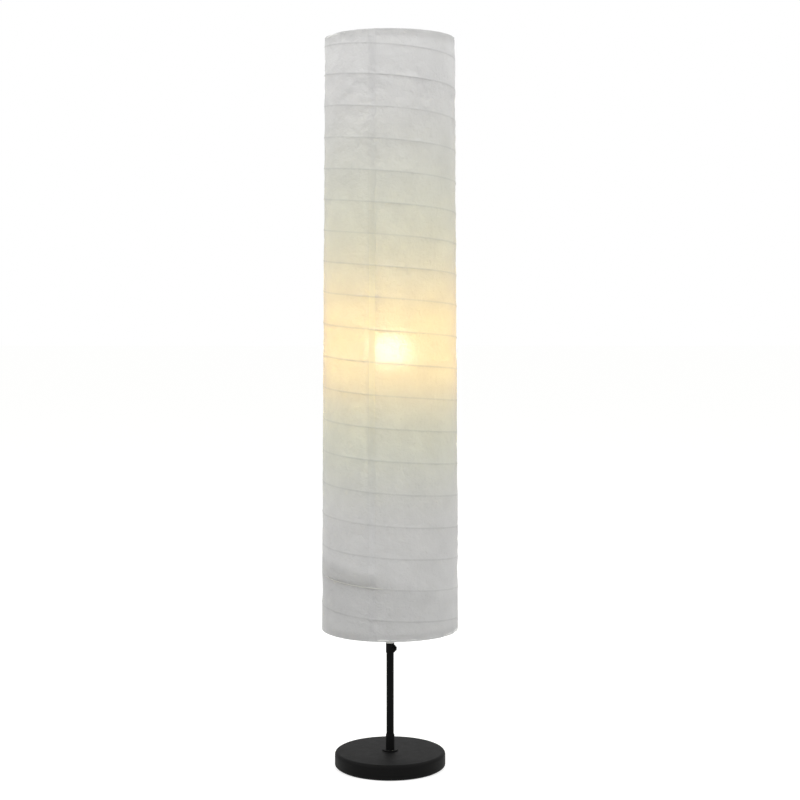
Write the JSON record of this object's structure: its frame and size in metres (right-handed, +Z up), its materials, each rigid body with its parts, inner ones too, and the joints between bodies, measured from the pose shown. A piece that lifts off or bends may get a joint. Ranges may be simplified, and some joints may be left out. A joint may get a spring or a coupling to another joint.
{
  "type": "paper lantern floor lamp",
  "caption": "Tall wire-wound paper cylinder on a slim black pole with a weighted disc base; the lower ring slides on the pole and is clamped.",
  "frame": {"origin": "middle of the underside of the foot pad, on the pole's axis", "axes": "+Z up along the pole, -Y towards the front of the lamp, +X to its right, the cord entry faces +Y"},
  "size_m": [0.2215, 0.2216, 1.17],
  "materials": {
    "powder_black": "matte black powder coat",
    "white_wire": "white enamelled wire",
    "winding_wire": "grey-white coated wire",
    "nickel": "nickel-plated, satin",
    "zinc": "bright zinc plate",
    "brass": "turned brass",
    "cement": "cast cement, rough",
    "foam": "closed-cell foam, matte",
    "gland_rubber": "moulded rubber, matte",
    "lead_sheath": "PVC sheath, satin",
    "phenolic": "moulded phenolic, satin black",
    "porcelain": "glazed porcelain",
    "rice_paper": "crinkled mulberry paper, translucent",
    "opal": "opal diffuser, satin",
    "bulb_white": "moulded white plastic",
    "lamp_cap": "spun nickel-plated cap",
    "black_glass": "black vitrite, glossy",
    "board": "white-masked board"
  },
  "bodies": {
    "root": {"base_cover": "powder_black", "base_weight": "cement", "foot_pad": "foam", "base_nipple": "zinc", "base_nut": "zinc", "base_washer": "zinc", "cord_gland": "gland_rubber", "foot_flange": "powder_black", "foot_sleeve": "powder_black", "lower_pole": "powder_black", "pole_joint_nipple": "zinc", "upper_pole": "powder_black", "inner_lead": "lead_sheath", "harp_saddle": "nickel", "holder_nipple": "zinc", "holder_cap": "phenolic", "holder_shell": "phenolic", "holder_core": "porcelain", "screw_shell": "brass", "centre_contact": "brass", "terminal_screws": "brass", "harp": "nickel", "harp_ferrules": "nickel", "harp_stud": "brass", "spider_hub": "white_wire", "spider_spokes": "white_wire", "top_ring": "white_wire", "shade_paper": "rice_paper", "spiral_wire": "winding_wire"},
    "carrier": {"clamp_collar": "powder_black", "carrier_hub": "white_wire", "carrier_spokes": "white_wire", "bottom_ring": "white_wire"},
    "thumbscrew": {"thumbscrew": "powder_black"},
    "finial": {"finial": "nickel"},
    "bulb": {"bulb_contact": "brass", "bulb_insulator": "black_glass", "bulb_cap": "lamp_cap", "bulb_housing": "bulb_white", "bulb_globe": "opal", "led_board": "board", "driver_board": "board"}
  },
  "joints": [
    {"name": "carrier_slide", "type": "slide", "parent": "root", "child": "carrier", "axis": [0, 0, 1], "range_m": [0, 0.335], "deforming": ["shade_paper", "spiral_wire"]},
    {"name": "thumbscrew_turn", "type": "hinge", "parent": "carrier", "child": "thumbscrew", "pos_m": [0.00978, -0.00208, 0.1925], "axis": [0.9781, -0.2079, 0], "range_deg": [0, 720]},
    {"name": "finial_turn", "type": "hinge", "parent": "root", "child": "finial", "pos_m": [0, 0, 1.1539], "axis": [0, 0, 1], "range_deg": [0, 2520]},
    {"name": "bulb_turn", "type": "hinge", "parent": "root", "child": "bulb", "pos_m": [0, 0, 0.594], "axis": [0, 0, 1], "range_deg": [0, 1260]}
  ]
}
